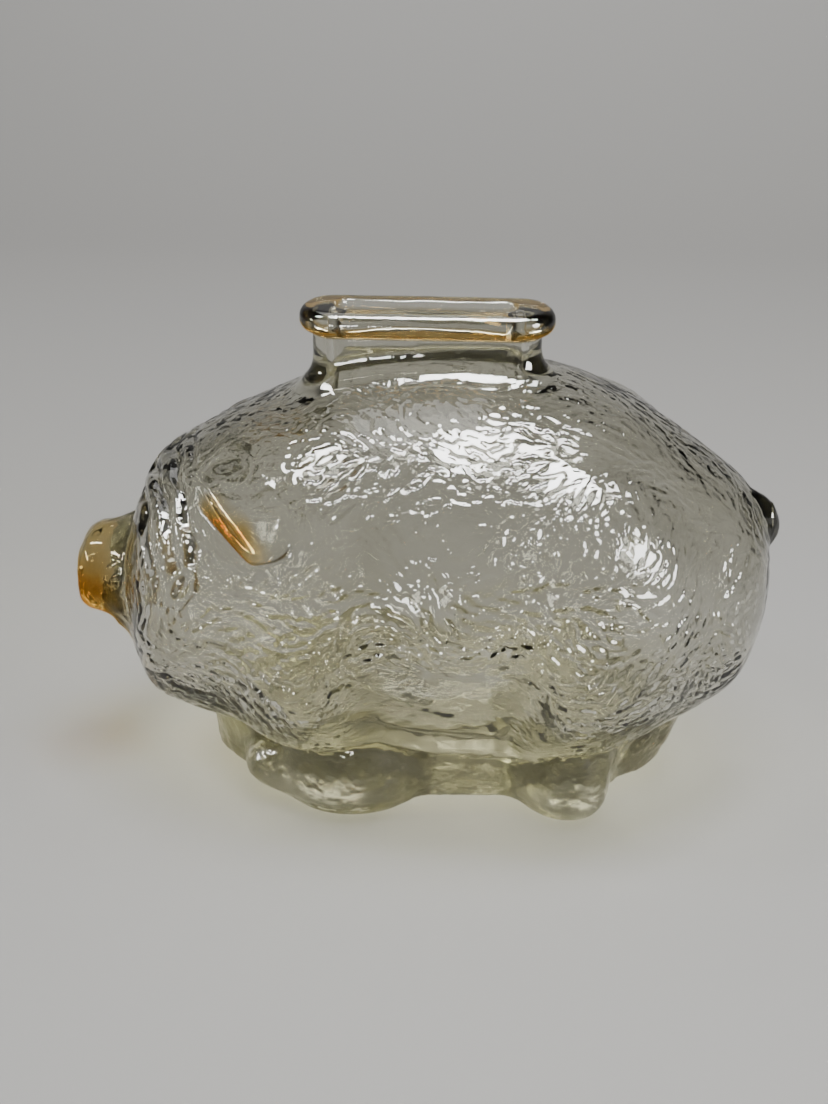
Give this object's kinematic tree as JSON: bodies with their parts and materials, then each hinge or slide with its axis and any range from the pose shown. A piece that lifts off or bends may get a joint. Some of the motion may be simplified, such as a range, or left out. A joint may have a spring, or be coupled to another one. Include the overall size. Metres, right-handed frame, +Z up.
{
  "type": "coin bank",
  "caption": "Hollow glass pig coin bank on an oval base with stub feet, with a raised oblong collar and a rolled, pinched coin slot on its back.",
  "frame": {"origin": "on the surface the feet stand on, under the middle of the overall length", "axes": "-X towards the snout, +X towards the tail, -Y the pig's left side, +Z up"},
  "size_m": [0.1691, 0.0964, 0.1212],
  "materials": {
    "clear_glass": "clear soda glass with a faint straw tint, fire polished, with a moulded crinkled skin",
    "amber_stain": "transparent amber stain, fired on, glossy"
  },
  "bodies": {
    "root": {"snout": "clear_glass", "head_shell": "clear_glass", "barrel_shell": "clear_glass", "rump_shell": "clear_glass", "left_ear": "clear_glass", "right_ear": "clear_glass", "tail": "clear_glass", "neck_collar": "clear_glass", "rolled_lip": "clear_glass", "base_plinth": "clear_glass", "left_front_foot": "clear_glass", "right_front_foot": "clear_glass", "left_rear_foot": "clear_glass", "right_rear_foot": "clear_glass", "snout_flash": "amber_stain", "left_ear_flash": "amber_stain", "right_ear_flash": "amber_stain", "lip_flash": "amber_stain"}
  },
  "joints": []
}
